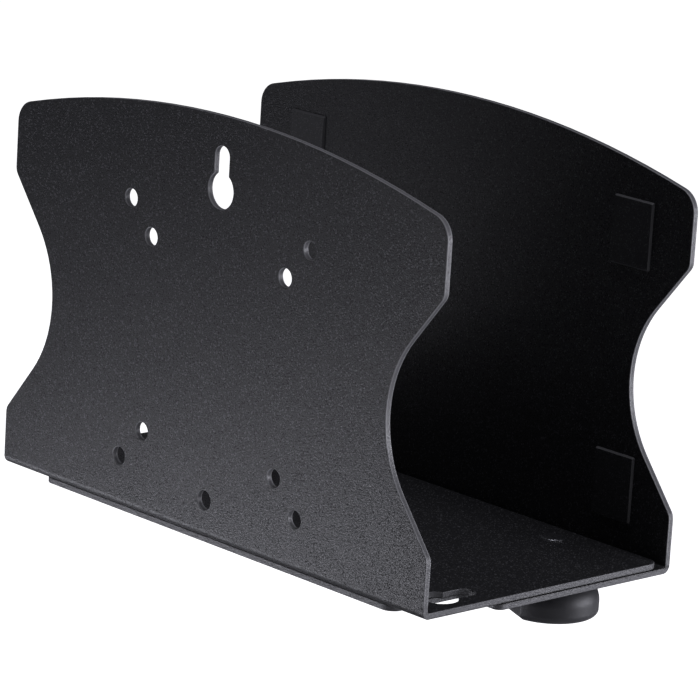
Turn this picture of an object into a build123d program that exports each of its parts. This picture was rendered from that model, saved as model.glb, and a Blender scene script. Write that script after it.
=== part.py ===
from build123d import *
import os
from math import acos, atan2, cos, radians, sin, sqrt

# Adjustable holder for a desktop computer case. Two L-shaped sheet steel brackets face each other.
# The wall bracket is screwed to a wall or a monitor arm plate, and the sliding bracket's flange
# passes under the wall bracket's flange, where two studs and two hand knobs clamp it.
# X is the width across the case, Y its depth and Z is up. The origin is the centre of the screw
# pattern, on the wall bracket's outer face, and the wall is on the -X side.

os.makedirs("parts", exist_ok=True)

# Sheet and overall size
sheet = 2.4                 # thickness of the steel with its powder coat
edge_round = 0.25           # softening that the coat gives to a cut edge
bend_inner = 0.8            # inside radius of the fold
length = 239.0              # both brackets, along Y
outer_width = 127.0         # outside to outside, as stored
flange_length = 121.5       # wall bracket's flange, from its upright's outer face
sliding_flange_length = 124.2
flange_top = -67.2          # upper face of the wall bracket's flange
flange_gap = 0.2            # sliding clearance between the two flanges
flange_drop = sheet + flange_gap

# Outline of an upright
arch_top = 90.0
arch_radius = 445.0
top_corner_round = 9.0
waist_half = 94.2           # half the width left at the waist
waist_round = 45.0
waist_break = 47.2          # height at which the end turns from straight to sloping
break_round = 5.0

# Screw pattern, keyholes and lower hole
pattern_large = 100.0
pattern_small = 75.0
screw_hole = 7.0            # diameter
lower_hole = 7.5
lower_hole_height = -55.1
keyhole_round = 14.0
keyhole_slot = 8.0
keyhole_travel = 12.6       # from the centre of the round to the centre of the slot's end
wall_keyhole_height = 62.3
flange_keyhole_x = 19.2
flange_keyhole_y = 107.8

# Free ends of the two flanges; the sliding one steps in to leave the keyholes open
flange_corner_round = 5.0
step_front = -100.6         # the narrower end reaches from here
step_rear = 98.0            # to here, along Y
step_run = 35.0             # how far the steps reach along X
step_round = 3.0

# Clamp: studs in the wall bracket, slots in the sliding one
stud_x = 110.0
stud_y = 75.4
stud_radius = 4.0
stud_length = 20.0          # below the sheet's upper face
stud_head_radius = 4.8
stud_head_depth = 1.2
stud_head_proud = 0.4
press_clearance = 0.02
slot_radius = 4.35
slide_out = 88.0
slide_in = 2.2
slot_end_clearance = 0.4

washer_radius = 8.5
washer_hole_radius = 4.3
washer_thickness = 1.6
face_clearance = 0.05       # between faces that turn or slide on each other

# Round hand knob with two opposite grip flats
knob_radius = 19.0
knob_flat = 16.2            # from the axis to each flat
knob_height = 14.2
knob_bottom_round = 3.0
knob_shoulder_round = 8.0   # towards the hub
knob_flat_round = 1.5       # along the sides of each flat
knob_flat_angle = 158.4     # where one flat faces, about Z
hub_radius = 8.5
hub_height = 8.0
hub_dish_radius = 13.0      # shallow dish in the knob's underside
hub_dish_depth = 0.8
insert_radius = 5.6
insert_length = 14.0
insert_bore_radius = 4.06
insert_groove_depth = 0.5
thread_room = 2.0           # blind depth below the insert

# Adhesive pads on the inner faces of the uprights
pad_thickness = 1.0
pad_width = 20.0
pad_height = 26.0
pad_corner_round = 2.0
pad_centre_y = 90.0
pad_upper_height = 54.6
pad_lower_height = -42.5

half_length = length / 2
arch_corner = arch_top - arch_radius + sqrt(arch_radius**2 - half_length**2)
flange_bottom = flange_top - sheet
sliding_flange_bottom = flange_bottom - flange_drop


def prism(sketch, plane, start, end):
    """Extrude a sketch drawn in a plane from one distance to another along its normal."""
    return extrude(plane.offset(start) * sketch, end - start)


def round_corners(sketch, points, radius):
    """Round the corners of a sketch that lie at the given points."""
    corners = [v for v in sketch.vertices() if any((Vector(*v) - p).length < 0.01 for p in points)]
    return fillet(corners, radius)


def upright_outline():
    """Arched top, straight ends and a hollow waist, in Y and Z about the screw pattern's centre."""
    foot = flange_bottom - 1
    waist_centre = waist_half + waist_round
    reach = half_length - waist_centre
    tangent = atan2(waist_break, reach) + acos(waist_round / sqrt(reach**2 + waist_break**2))
    waist_y = waist_centre + waist_round * cos(tangent)
    waist_z = waist_round * sin(tangent)
    lines = [ThreePointArc((-half_length, arch_corner), (0, arch_top), (half_length, arch_corner))]
    for side in (-1, 1):
        lines += [
            Line((side * half_length, arch_corner), (side * half_length, waist_break)),
            Line((side * half_length, waist_break), (side * waist_y, waist_z)),
            ThreePointArc((side * waist_y, waist_z), (side * waist_half, 0), (side * waist_y, -waist_z)),
            Line((side * waist_y, -waist_z), (side * half_length, -waist_break)),
            Line((side * half_length, -waist_break), (side * half_length, foot)),
        ]
    lines.append(Line((-half_length, foot), (half_length, foot)))
    outline = make_face(lines)
    ends = (-half_length, half_length)
    outline = round_corners(outline, [Vector(y, arch_corner) for y in ends], top_corner_round)
    breaks = [Vector(y, z) for y in ends for z in (-waist_break, waist_break)]
    return round_corners(outline, breaks, break_round)


def plain_flange():
    """Straight flange with two small rounded corners at its free end, in X and Y."""
    corners = [Vector(flange_length, -half_length), Vector(flange_length, half_length)]
    outline = make_face(Polyline(
        (0, -half_length), corners[0], corners[1], (0, half_length), close=True))
    return round_corners(outline, corners, flange_corner_round)


def stepped_flange():
    """Flange that steps in to a narrower free end, in X and Y."""
    root = sliding_flange_length - step_run
    tip = sliding_flange_length
    steps = [Vector(root, y) for y in (-half_length, step_front, step_rear, half_length)]
    ends = [Vector(tip, step_front), Vector(tip, step_rear)]
    outline = make_face(Polyline(
        (0, -half_length), *steps[:2], *ends, *steps[2:], (0, half_length), close=True))
    outline = round_corners(outline, steps, step_round)
    return round_corners(outline, ends, flange_corner_round)


def folded_sheet(flange, reach):
    """An upright and a flange in one folded sheet, its upright's outer face at x = 0."""
    corner_outside = Vector(0, flange_bottom)
    corner_inside = Vector(sheet, flange_top)
    section = make_face(Polyline(
        (0, arch_top + 1), corner_outside, (reach, flange_bottom),
        (reach, flange_top), corner_inside, (sheet, arch_top + 1), close=True))
    section = round_corners(section, [corner_outside], bend_inner + sheet)
    section = round_corners(section, [corner_inside], bend_inner)
    fold = prism(section, Plane.XZ, -half_length, half_length)
    fold_end = sheet + bend_inner
    upright = prism(upright_outline(), Plane.YZ, -1, fold_end)
    flat = prism(flange, Plane.XY, flange_bottom - 1, flange_top + 1)
    flat &= Pos(fold_end + length / 2, 0, flange_top) * Box(length, 2 * length, 4 * sheet)
    return fold & (upright + flat)


def soften(folded):
    """Round every cut edge of a folded sheet by the thickness of its coat."""
    def is_cut_edge(edge):
        box = edge.bounding_box()
        along_fold = box.size.X < 0.01 and box.size.Z < 0.01
        if along_fold and box.max.X < sheet + bend_inner + 0.01:
            return False
        on_upright = box.size.X < 0.01 and min(abs(box.min.X), abs(box.min.X - sheet)) < 0.01
        on_flange = box.size.Z < 0.01 and min(
            abs(box.min.Z - flange_top), abs(box.min.Z - flange_bottom)) < 0.01
        in_fold = box.max.X < sheet + bend_inner + 0.01
        on_fold = in_fold and box.size.Y < 0.01 and edge.geom_type == GeomType.CIRCLE
        return on_upright or on_flange or on_fold
    return fillet([e for e in folded.edges() if is_cut_edge(e)], edge_round)


def keyhole(angle):
    """A round for the screw's head and a slot for its neck, the slot running at an angle."""
    slot = Pos(keyhole_travel / 2, 0) * Rectangle(keyhole_travel, keyhole_slot)
    slot += Pos(keyhole_travel, 0) * Circle(keyhole_slot / 2)
    return Rot(0, 0, angle) * (Circle(keyhole_round / 2) + slot)


def wall_bracket():
    holes = Sketch() + [
        Pos(y * size / 2, z * size / 2) * Circle(screw_hole / 2)
        for size in (pattern_large, pattern_small) for y in (-1, 1) for z in (-1, 1)]
    holes += Pos(0, lower_hole_height) * Circle(lower_hole / 2)
    holes += Pos(0, wall_keyhole_height) * keyhole(90)
    bracket = folded_sheet(plain_flange(), flange_length) - prism(holes, Plane.YZ, -1, sheet + 1)
    for side in (-1, 1):
        cut = Pos(flange_keyhole_x, side * flange_keyhole_y) * keyhole(0)
        bracket -= prism(cut, Plane.XY, flange_bottom - 1, flange_top + 1)
    bracket = soften(bracket)
    for side in (-1, 1):
        place = Pos(stud_x, side * stud_y)
        shank_hole = place * Circle(stud_radius + press_clearance)
        head_pocket = place * Circle(stud_head_radius + press_clearance)
        bracket -= prism(shank_hole, Plane.XY, flange_bottom - 1, flange_top + 1)
        bracket -= prism(head_pocket, Plane.XY, flange_top - stud_head_depth, flange_top + 1)
    return bracket


def sliding_bracket():
    slot_start = outer_width - stud_x - slide_in - slot_end_clearance
    slot_travel = slide_in + slide_out + 2 * slot_end_clearance
    bracket = folded_sheet(stepped_flange(), sliding_flange_length)
    for side in (-1, 1):
        slot = SlotCenterToCenter(slot_travel, 2 * slot_radius)
        slot = Pos(slot_start + slot_travel / 2, side * stud_y) * slot
        bracket -= prism(slot, Plane.XY, flange_bottom - 1, flange_top + 1)
    return Pos(outer_width, 0, -flange_drop) * mirror(soften(bracket), about=Plane.YZ)


def ring(outer, inner, bottom, top):
    return prism(Circle(outer) - Circle(inner), Plane.XY, bottom, top)


def stud():
    """Press-in stud: a thin flush head and a shank that hangs from it."""
    head_bottom = flange_top - stud_head_depth
    head = prism(Circle(stud_head_radius), Plane.XY, head_bottom, flange_top + stud_head_proud)
    head = fillet(head.edges().sort_by(Axis.Z)[-1], 0.2)
    shank = prism(Circle(stud_radius), Plane.XY, flange_top - stud_length, head_bottom)
    shank = chamfer(shank.edges().sort_by(Axis.Z)[0], 0.8)
    return head + shank


def washer(top):
    disc = ring(washer_radius, washer_hole_radius, top - washer_thickness, top)
    rims = [e for e in disc.edges().filter_by(GeomType.CIRCLE) if e.radius > washer_hole_radius + 1]
    return chamfer(rims, 0.2)


def insert(top):
    """Turned brass insert with two locking grooves."""
    body = ring(insert_radius, insert_bore_radius, top - insert_length, top)
    for depth in (4.0, 9.0):
        body -= ring(insert_radius + 1, insert_radius - insert_groove_depth, top - depth - 1.2, top - depth)
    return body


def knob(top):
    """Moulded knob: round, with a big shoulder towards its hub and two opposite grip flats."""
    body_top = top - hub_height
    bottom = body_top - knob_height
    shoulder = body_top - knob_shoulder_round
    neck = knob_radius - knob_shoulder_round
    turn = sin(radians(45)) * knob_shoulder_round
    profile = make_face([
        Line((0, bottom), (knob_radius, bottom)),
        Line((knob_radius, bottom), (knob_radius, shoulder)),
        ThreePointArc((knob_radius, shoulder), (neck + turn, shoulder + turn), (neck, body_top)),
        Line((neck, body_top), (0, body_top)),
        Line((0, body_top), (0, bottom)),
    ])
    body = revolve(Plane.XZ * profile, Axis.Z)
    for side in (-1, 1):
        slab = Box(knob_radius, 3 * knob_radius, 3 * knob_radius)
        body -= Pos(side * (knob_flat + knob_radius / 2), 0, (top + bottom) / 2) * slab
    sides = [e for e in body.edges() if abs(abs(e.center().X) - knob_flat) < 0.01
             and e.bounding_box().size.Y < 0.01]
    body = fillet(sides, knob_flat_round)
    body = fillet(body.faces().sort_by(Axis.Z)[0].outer_wire().edges(), knob_bottom_round)
    body -= prism(Circle(hub_dish_radius), Plane.XY, bottom - 1, bottom + hub_dish_depth)
    hub = prism(Circle(hub_radius), Plane.XY, body_top - 1, top)
    hub = chamfer(hub.edges().sort_by(Axis.Z)[-1], 0.4)
    bore = prism(Circle(insert_bore_radius), Plane.XY, top - insert_length - thread_room, top + 1)
    return Rot(0, 0, knob_flat_angle) * (body + hub - bore - insert(top))


def pad(height, y):
    """Flat adhesive pad, its back on the plane x = 0 and its face towards +X."""
    outline = Pos(y, height) * RectangleRounded(pad_width, pad_height, pad_corner_round)
    return prism(outline, Plane.YZ, 0, pad_thickness)


washer_top = sliding_flange_bottom - face_clearance
knob_top = washer_top - washer_thickness - face_clearance

parts = {"wall_bracket": wall_bracket(), "sliding_bracket": sliding_bracket()}
for end, side in (("front", -1), ("rear", 1)):
    place = Pos(stud_x, side * stud_y, 0)
    parts["clamp_stud_" + end] = place * stud()
    parts["washer_" + end] = place * washer(washer_top)
    parts["knob_" + end] = place * knob(knob_top)
    parts["knob_insert_" + end] = place * insert(knob_top)
    for level, height in (("upper", pad_upper_height), ("lower", pad_lower_height)):
        piece = pad(height, side * pad_centre_y)
        parts["wall_pad_" + level + "_" + end] = Pos(sheet, 0, 0) * piece
        facing = Pos(outer_width - sheet, 0, -flange_drop) * mirror(piece, about=Plane.YZ)
        parts["sliding_pad_" + level + "_" + end] = facing

for name, shape in parts.items():
    export_step(shape, "parts/" + name + ".step")
    box = shape.bounding_box()
    print(name, [round(v, 2) for v in (*box.min, *box.max)])
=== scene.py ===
import math

import bmesh
import bpy
from mathutils import Matrix, Vector


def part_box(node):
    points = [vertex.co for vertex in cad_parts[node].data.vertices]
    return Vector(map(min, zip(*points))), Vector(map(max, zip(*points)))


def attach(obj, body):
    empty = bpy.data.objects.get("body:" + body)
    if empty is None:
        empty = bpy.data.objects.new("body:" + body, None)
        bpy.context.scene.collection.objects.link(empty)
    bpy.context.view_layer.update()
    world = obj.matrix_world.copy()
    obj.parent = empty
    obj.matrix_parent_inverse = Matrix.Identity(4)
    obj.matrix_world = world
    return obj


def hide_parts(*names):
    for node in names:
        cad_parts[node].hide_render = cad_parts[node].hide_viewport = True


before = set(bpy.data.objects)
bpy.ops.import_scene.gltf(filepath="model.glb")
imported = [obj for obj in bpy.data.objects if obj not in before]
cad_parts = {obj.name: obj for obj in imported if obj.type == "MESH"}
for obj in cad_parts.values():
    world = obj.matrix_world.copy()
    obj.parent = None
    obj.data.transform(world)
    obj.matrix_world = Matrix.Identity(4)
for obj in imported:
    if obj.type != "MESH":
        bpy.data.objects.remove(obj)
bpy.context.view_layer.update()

# ---------------------------------------------------------------------------------------------
# The two brackets: 2.4 mm sheet steel, laser cut and folded to an L, then dusted with a fine
# black texture powder and baked. The powder leaves a sandy grain, with painted sparkle highlights
# on single grains. The cut faces are coloured paler as painted light, with painted highlight lines
# along the rims of the uprights' cut faces and a painted dark shade line at the flange join.
# ---------------------------------------------------------------------------------------------

sheet_thickness = 0.0024
wall_low, wall_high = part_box("wall_bracket")
slide_low, slide_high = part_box("sliding_bracket")
upright_skins = (wall_low.x, wall_low.x + sheet_thickness, slide_high.x - sheet_thickness, slide_high.x)
fold_top = wall_low.z + 0.0056
seam_height = wall_low.z - 0.00005
lower_flange_top = slide_low.z + sheet_thickness + 0.0001
free_end_limit = 0.1


def link(tree, source, target):
    tree.links.new(source, target)


def new_node(tree, kind, x, y, **settings):
    node = tree.nodes.new(kind)
    node.location = (x, y)
    for name, value in settings.items():
        setattr(node, name, value)
    return node


def calc(tree, operation, first, second=None, third=None, clamp=False):
    """A Math node on sockets or numbers, its value."""
    node = tree.nodes.new("ShaderNodeMath")
    node.operation = operation
    node.use_clamp = clamp
    for row, value in enumerate((first, second, third)):
        if value is None:
            continue
        if isinstance(value, (int, float)):
            node.inputs[row].default_value = value
        else:
            link(tree, value, node.inputs[row])
    return node.outputs[0]


def ranged(tree, source, low, high, x, y, start=0.0, end=1.0):
    """A value carried from start..end to low..high and held there."""
    node = new_node(tree, "ShaderNodeMapRange", x, y, clamp=True)
    node.inputs["From Min"].default_value = start
    node.inputs["From Max"].default_value = end
    node.inputs["To Min"].default_value = low
    node.inputs["To Max"].default_value = high
    link(tree, source, node.inputs["Value"])
    return node.outputs["Result"]


def mixed_colour(tree, factor, first, second, x, y):
    """Two colours, each a socket or three numbers, mixed by a value."""
    mix = new_node(tree, "ShaderNodeMix", x, y, data_type="RGBA")
    link(tree, factor, mix.inputs["Factor"])
    for socket, value in ((mix.inputs["A"], first), (mix.inputs["B"], second)):
        if isinstance(value, tuple):
            socket.default_value = (*value, 1.0)
        else:
            link(tree, value, socket)
    return mix.outputs["Result"]


def fresh_group(name, lengths, results):
    """A node group with a Vector and some lengths going in and some values coming out."""
    group = bpy.data.node_groups.new(name, "ShaderNodeTree")
    group.interface.new_socket("Vector", in_out="INPUT", socket_type="NodeSocketVector")
    for length in lengths:
        group.interface.new_socket(length, in_out="INPUT", socket_type="NodeSocketFloat")
    for result in results:
        group.interface.new_socket(result, in_out="OUTPUT", socket_type="NodeSocketFloat")
    inside = new_node(group, "NodeGroupInput", -900, 0)
    outside = new_node(group, "NodeGroupOutput", 700, 0)
    return group, inside.outputs, outside.inputs


def grain_group():
    """Sandy grain: its Height, its Speck, single cells as painted sparkle highlights and as Pit, and a
    wide slow Drift.
    """
    lengths = ("Grain Size", "Drift Size")
    results = ("Height", "Speck", "Drift", "Painted Sparkle", "Pit")
    group, given, result = fresh_group("fine_grain", lengths, results)
    fine = calc(group, "DIVIDE", 1.0, given["Grain Size"])
    wide = calc(group, "DIVIDE", 1.0, given["Drift Size"])
    cells = new_node(group, "ShaderNodeTexVoronoi", -450, 250, feature="F1")
    sand = new_node(group, "ShaderNodeTexNoise", -450, -50)
    drift = new_node(group, "ShaderNodeTexNoise", -450, -350)
    cells.inputs["Randomness"].default_value = 1.0
    sand.inputs["Detail"].default_value = 2.0
    drift.inputs["Detail"].default_value = 3.0
    for texture, scale in ((cells, fine), (sand, fine), (drift, wide)):
        link(group, given["Vector"], texture.inputs["Vector"])
        link(group, scale, texture.inputs["Scale"])
    dome = ranged(group, cells.outputs["Distance"], 1.0, 0.0, -200, 250, 0.0, 0.9)
    tone = new_node(group, "ShaderNodeSeparateColor", -200, 480)
    link(group, cells.outputs["Color"], tone.inputs[0])
    # Cells picked at random, later coloured light as painted sparkle highlights.
    painted_sparkle_cell = calc(group, "GREATER_THAN", tone.outputs[0], 0.91)
    sunk_cell = calc(group, "GREATER_THAN", tone.outputs[1], 0.86)
    grit = calc(group, "ADD", dome, sand.outputs["Fac"])
    link(group, calc(group, "MULTIPLY", grit, 0.5), result["Height"])
    link(group, ranged(group, sand.outputs["Fac"], 0.0, 1.0, 50, -50, 0.36, 0.64), result["Speck"])
    link(group, drift.outputs["Fac"], result["Drift"])
    link(group, calc(group, "MULTIPLY", painted_sparkle_cell, dome), result["Painted Sparkle"])
    link(group, calc(group, "MULTIPLY", sunk_cell, dome), result["Pit"])
    return group


def facing_parts(tree, x, y):
    """The X, Y and Z of the surface's normal."""
    geometry = new_node(tree, "ShaderNodeNewGeometry", x, y)
    parts = new_node(tree, "ShaderNodeSeparateXYZ", x + 200, y)
    link(tree, geometry.outputs["Normal"], parts.inputs[0])
    return parts.outputs


def cut_group():
    """Mask is 1 on the cut faces of the folded sheets, 0 on their skins. Flange Shade is a painted
    dark shade line at the join of the two flanges, Edge Highlight the painted highlight lines
    along both sides of an upright's cut face."""
    group, given, result = fresh_group("cut_face", (), ("Mask", "Seam", "Edge Highlight"))
    facing = facing_parts(group, -900, 200)
    place = new_node(group, "ShaderNodeSeparateXYZ", -700, -200)
    link(group, given["Vector"], place.inputs[0])
    where = place.outputs
    across = calc(group, "ABSOLUTE", facing["X"])
    upward = calc(group, "ABSOLUTE", facing["Z"])
    endways = calc(group, "ABSOLUTE", facing["Y"])
    on_upright = calc(group, "GREATER_THAN", where["Z"], fold_top)
    arch = calc(group, "MULTIPLY", calc(group, "SUBTRACT", 1.0, across), on_upright)
    on_lower_flange = calc(group, "LESS_THAN", where["Z"], lower_flange_top)
    clear_of_fold = calc(group, "LESS_THAN", where["X"], free_end_limit)
    free_end = calc(group, "MULTIPLY", on_lower_flange, clear_of_fold)
    tip = calc(group, "MULTIPLY", free_end, calc(group, "SUBTRACT", 1.0, upward))
    most = calc(group, "MAXIMUM", calc(group, "MAXIMUM", arch, endways), tip)
    mask = ranged(group, most, 0.0, 1.0, 270, 50, 0.02, 0.3)
    # Painted shade: a dark line at the join of the two flanges, fading out 0.3 to 0.7 mm from it.
    from_seam = calc(group, "ABSOLUTE", calc(group, "SUBTRACT", where["Z"], seam_height))
    flange_shade_line = ranged(group, from_seam, 1.0, 0.0, 270, -300, 0.0003, 0.0007)
    # Painted highlight lines along both skins of each upright's cut face, fading out 0.3 to 0.8 mm from
    # them.
    nearest = None
    for skin in upright_skins:
        away = calc(group, "ABSOLUTE", calc(group, "SUBTRACT", where["X"], skin))
        nearest = away if nearest is None else calc(group, "MINIMUM", nearest, away)
    painted_edge_highlight = ranged(group, nearest, 1.0, 0.0, 270, -500, 0.0003, 0.0008)
    link(group, mask, result["Mask"])
    link(group, calc(group, "MULTIPLY", flange_shade_line, mask), result["Seam"])
    link(group, calc(group, "MULTIPLY", painted_edge_highlight, on_upright), result["Edge Highlight"])
    return group


grain = grain_group()
cut_face = cut_group()


def fresh_material(name, grain_size, drift_size):
    """A new material with its tree, its shader, its Object coordinates and its grain."""
    material = bpy.data.materials.new(name)
    material.use_nodes = True
    tree = material.node_tree
    place = new_node(tree, "ShaderNodeTexCoord", -1300, 0).outputs["Object"]
    sand = new_node(tree, "ShaderNodeGroup", -1100, 0, node_tree=grain)
    sand.inputs["Grain Size"].default_value = grain_size
    sand.inputs["Drift Size"].default_value = drift_size
    link(tree, place, sand.inputs["Vector"])
    return material, tree, tree.nodes["Principled BSDF"], place, sand.outputs


def bump(tree, shader, height, distance, strength):
    node = new_node(tree, "ShaderNodeBump", -200, -400)
    node.inputs["Distance"].default_value = distance
    node.inputs["Strength"].default_value = strength
    link(tree, height, node.inputs["Height"])
    link(tree, node.outputs["Normal"], shader.inputs["Normal"])


def texture_powder():
    material, tree, shader, place, sand = fresh_material("black_texture_powder", 0.0005, 0.035)
    cut = new_node(tree, "ShaderNodeGroup", -1100, -300, node_tree=cut_face)
    link(tree, place, cut.inputs["Vector"])
    face = mixed_colour(tree, sand["Drift"], (0.014, 0.014, 0.016), (0.020, 0.020, 0.022), -900, 200)
    speckled = mixed_colour(tree, sand["Speck"], (0.0, 0.0, 0.0005), face, -700, 200)
    pitted = mixed_colour(tree, sand["Pit"], speckled, (0.0, 0.0, 0.0), -600, 200)
    # Painted sparkle highlights: single grains coloured light.
    powder_painted_sparkle = mixed_colour(tree, sand["Painted Sparkle"], pitted, (0.105, 0.105, 0.112), -500, 200)
    # The cut faces are coloured paler as painted light, with painted highlight lines along their rims.
    painted_cut_face_light = mixed_colour(tree, cut.outputs["Edge Highlight"], (0.10, 0.10, 0.104), (0.21, 0.21, 0.216), -500, 500)
    # Painted shade: the flange join coloured black.
    edge = mixed_colour(tree, cut.outputs["Seam"], painted_cut_face_light, (0.0, 0.0, 0.0), -400, 400)
    coat = mixed_colour(tree, cut.outputs["Mask"], powder_painted_sparkle, edge, -300, 200)
    link(tree, coat, shader.inputs["Base Color"])
    polish = ranged(tree, sand["Speck"], 0.56, 0.28, -700, -100)
    dulled = calc(tree, "MULTIPLY_ADD", sand["Pit"], 0.6, polish, clamp=True)
    link(tree, dulled, shader.inputs["Roughness"])
    bump(tree, shader, sand["Height"], 0.00013, 0.9)
    return material


def dress(node, material):
    """Give a CAD node its finish."""
    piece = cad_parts[node]
    piece.data.materials.clear()
    piece.data.materials.append(material)


powder = texture_powder()
for bracket in ("wall_bracket", "sliding_bracket"):
    dress(bracket, powder)

# ---------------------------------------------------------------------------------------------
# The clamp studs and washers: zinc-plated steel. The studs are pressed into the wall bracket's
# flange before it is coated, so their heads are as black as the sheet with a thin rubbed rim.
# ---------------------------------------------------------------------------------------------


def bare_metal(name, drift_size, dull, bright, smooth, rough):
    material, tree, shader, place, fine = fresh_material(name, 0.0004, drift_size)
    link(tree, mixed_colour(tree, fine["Drift"], dull, bright, -500, 200), shader.inputs["Base Color"])
    shader.inputs["Metallic"].default_value = 1.0
    link(tree, ranged(tree, fine["Drift"], smooth, rough, -500, -100), shader.inputs["Roughness"])
    bump(tree, shader, fine["Height"], 0.00002, 0.5)
    return material


def coated_stud():
    """Zinc plate all over, under the same black powder on the flat of the head."""
    material, tree, shader, place, sand = fresh_material("coated_stud", 0.0006, 0.035)
    bare = ranged(tree, facing_parts(tree, -1200, -300)["Z"], 1.0, 0.0, -800, -300, 0.75, 0.95)
    black = mixed_colour(tree, sand["Speck"], (0.0015, 0.0015, 0.002), (0.030, 0.030, 0.033), -700, 200)
    link(tree, mixed_colour(tree, bare, black, (0.62, 0.63, 0.65), -400, 200), shader.inputs["Base Color"])
    link(tree, bare, shader.inputs["Metallic"])
    link(tree, ranged(tree, bare, 0.44, 0.32, -400, -100), shader.inputs["Roughness"])
    bump(tree, shader, sand["Height"], 0.0001, 0.6)
    return material


zinc = bare_metal("zinc_plate", 0.004, (0.50, 0.51, 0.53), (0.66, 0.67, 0.69), 0.24, 0.42)
stud_finish = coated_stud()
for end in ("front", "rear"):
    dress("clamp_stud_" + end, stud_finish)
    dress("washer_" + end, zinc)

# ---------------------------------------------------------------------------------------------
# The knobs: black glass-filled nylon, moulded round a turned brass insert. The tool is spark
# eroded, which leaves the skin satin.
# ---------------------------------------------------------------------------------------------


def moulded_nylon():
    material, tree, shader, place, skin = fresh_material("moulded_nylon", 0.0005, 0.012)
    tint = mixed_colour(tree, skin["Drift"], (0.020, 0.020, 0.022), (0.030, 0.030, 0.033), -500, 200)
    link(tree, tint, shader.inputs["Base Color"])
    link(tree, ranged(tree, skin["Speck"], 0.50, 0.42, -500, -100), shader.inputs["Roughness"])
    bump(tree, shader, skin["Height"], 0.00003, 0.5)
    return material


nylon = moulded_nylon()
brass = bare_metal("turned_brass", 0.005, (0.60, 0.42, 0.17), (0.78, 0.58, 0.27), 0.2, 0.36)
for end in ("front", "rear"):
    dress("knob_" + end, nylon)
    dress("knob_insert_" + end, brass)

# ---------------------------------------------------------------------------------------------
# The pads: black closed-cell foam, die cut and stuck to the inner faces of both uprights. The
# cutter pinches the rim, so the sides slope in to a slightly smaller face.
# ---------------------------------------------------------------------------------------------

pad_corner_round = 0.0008
pinch_width = 0.0006
pinch_depth = 0.0007
bay_middle = 0.06


def foam():
    material, tree, shader, place, cells = fresh_material("closed_cell_foam", 0.00045, 0.008)
    across = calc(tree, "ABSOLUTE", facing_parts(tree, -1200, -300)["X"])
    # A painted light outline on the pad's sloped sides.
    rim = ranged(tree, across, 1.0, 0.0, -800, -300, 0.94, 0.99)
    skin = mixed_colour(tree, cells["Speck"], (0.006, 0.006, 0.007), (0.022, 0.022, 0.024), -700, 200)
    # Painted sparkle highlights: single cells coloured light.
    foam_painted_sparkle = mixed_colour(tree, cells["Painted Sparkle"], skin, (0.09, 0.09, 0.096), -550, 200)
    foam_painted_rim_light = mixed_colour(tree, rim, foam_painted_sparkle, (0.065, 0.065, 0.068), -400, 200)
    link(tree, foam_painted_rim_light, shader.inputs["Base Color"])
    link(tree, ranged(tree, cells["Drift"], 0.42, 0.52, -500, -100), shader.inputs["Roughness"])
    bump(tree, shader, cells["Height"], 0.0001, 0.6)
    return material


def pinched_pad(node):
    """A pad in the space of its CAD solid, its corners rounded and its rim pinched."""
    low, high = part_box(node)
    middle, size = (low + high) / 2, high - low
    faces_out = 1 if middle.x < bay_middle else -1
    mesh = bmesh.new()
    bmesh.ops.create_cube(mesh, size=1.0, matrix=Matrix.Diagonal((*size, 1.0)))
    corners = [e for e in mesh.edges if abs(e.verts[0].co.x - e.verts[1].co.x) > size.x / 2]
    bmesh.ops.bevel(mesh, geom=corners, offset=pad_corner_round, segments=4, profile=0.5,
                    affect="EDGES", material=-1)
    face = max(mesh.faces, key=lambda f: f.calc_center_median().x * faces_out)
    bmesh.ops.translate(mesh, verts=face.verts, vec=(-pinch_depth * faces_out, 0.0, 0.0))
    bmesh.ops.inset_region(mesh, faces=[face], thickness=pinch_width, depth=pinch_depth)
    bmesh.ops.transform(mesh, matrix=Matrix.Translation(middle), verts=mesh.verts)
    bmesh.ops.recalc_face_normals(mesh, faces=mesh.faces)
    data = bpy.data.meshes.new("foam_" + node)
    mesh.to_mesh(data)
    mesh.free()
    piece = bpy.data.objects.new("foam_" + node, data)
    bpy.context.scene.collection.objects.link(piece)
    return piece


black_foam = foam()
for node in sorted(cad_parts):
    if "_pad_" not in node:
        continue
    piece = pinched_pad(node)
    piece.data.materials.append(black_foam)
    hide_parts(node)
    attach(piece, "wall_side" if node.startswith("wall") else "sliding_side")

# ---------------------------------------------------------------------------------------------
# The studio: a wide pale floor below the holder, soft lights off the open end and overhead, a
# low one beside the wall bracket that lifts its lower half, and a long lens.
# ---------------------------------------------------------------------------------------------

floor_height = -0.26
floor_size = 14.0
cool_white = (0.91, 0.91, 1.0)

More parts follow.
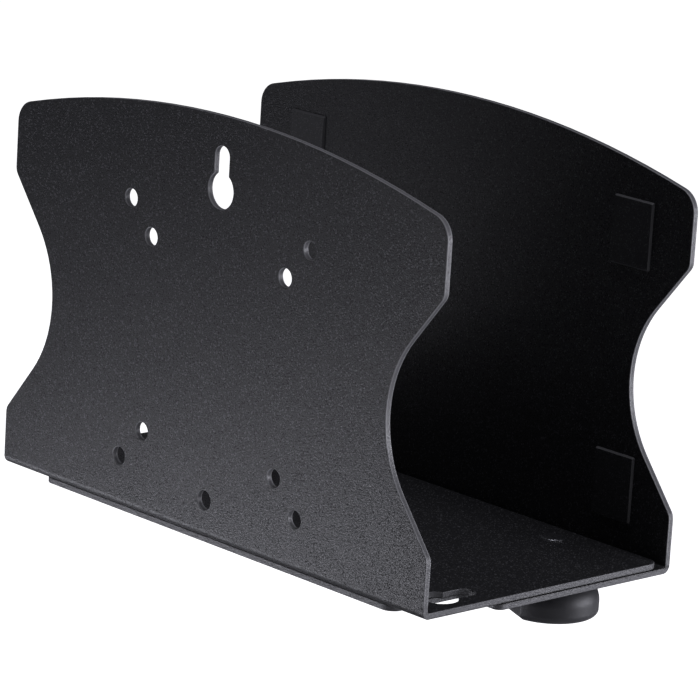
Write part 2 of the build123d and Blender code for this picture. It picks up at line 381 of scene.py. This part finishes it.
floor_mesh = bmesh.new()
bmesh.ops.create_grid(floor_mesh, x_segments=1, y_segments=1, size=floor_size,
                      matrix=Matrix.Translation((0, 0, floor_height)))
floor_data = bpy.data.meshes.new("studio_floor")
floor_mesh.to_mesh(floor_data)
floor_mesh.free()
floor = bpy.data.objects.new("studio_floor", floor_data)
bpy.context.scene.collection.objects.link(floor)
paper = bpy.data.materials.new("pale_paper")
paper.use_nodes = True
paper_tree = paper.node_tree
paper_shader = paper_tree.nodes["Principled BSDF"]
paper_shader.inputs["Base Color"].default_value = (0.82, 0.82, 0.82, 1.0)
paper_shader.inputs["Roughness"].default_value = 0.9
paper_shader.inputs["Emission Color"].default_value = (1.0, 1.0, 1.0, 1.0)
seen = new_node(paper_tree, "ShaderNodeLightPath", -600, -200)
link(paper_tree, seen.outputs["Is Camera Ray"], paper_shader.inputs["Emission Strength"])
floor_data.materials.append(paper)

scene = bpy.context.scene
world = bpy.data.worlds.new("studio")
scene.world = world
world.use_nodes = True
world.node_tree.nodes["Background"].inputs["Color"].default_value = (*cool_white, 1.0)
world.node_tree.nodes["Background"].inputs["Strength"].default_value = 0.05


def soft_light(name, place, aim, width, height, power):
    lamp = bpy.data.lights.new(name, "AREA")
    lamp.shape = "RECTANGLE"
    lamp.size = width
    lamp.size_y = height
    lamp.energy = power
    lamp.color = cool_white
    holder = bpy.data.objects.new(name, lamp)
    holder.location = place
    holder.rotation_euler = (Vector(aim) - Vector(place)).to_track_quat("-Z", "Y").to_euler()
    holder.visible_camera = False
    scene.collection.objects.link(holder)


soft_light("open_end_light", (0.95, -1.1, 0.05), (0.06, -0.05, -0.03), 1.0, 0.5, 12.0)
soft_light("open_end_card", (0.6, -0.72, -0.255), (0.55, -0.65, 0.2), 0.6, 0.6, 4.4)
soft_light("wall_side_card", (-0.24, 0.22, -0.255), (-0.2, 0.19, 0.2), 0.40, 0.40, 2.75)
soft_light("overhead_light", (0.08, 0.0, 1.4), (0.08, 0.0, 0.0), 0.7, 0.7, 9.2)

camera_place = Vector((-0.9945, -1.1273, 0.3747))
camera_aim = Vector((0.06625, -0.0037, -0.0049))
camera_roll = math.radians(3.546)
lens = bpy.data.cameras.new("camera")
lens.lens = 216.4
lens.sensor_width = 36.0
lens.clip_end = 50.0
camera = bpy.data.objects.new("camera", lens)
level = (camera_aim - camera_place).to_track_quat("-Z", "Y").to_matrix()
turned = level @ Matrix.Rotation(camera_roll, 3, "Z")
camera.matrix_world = Matrix.Translation(camera_place) @ turned.to_4x4()
scene.collection.objects.link(camera)
scene.camera = camera
scene.view_settings.view_transform = "Standard"
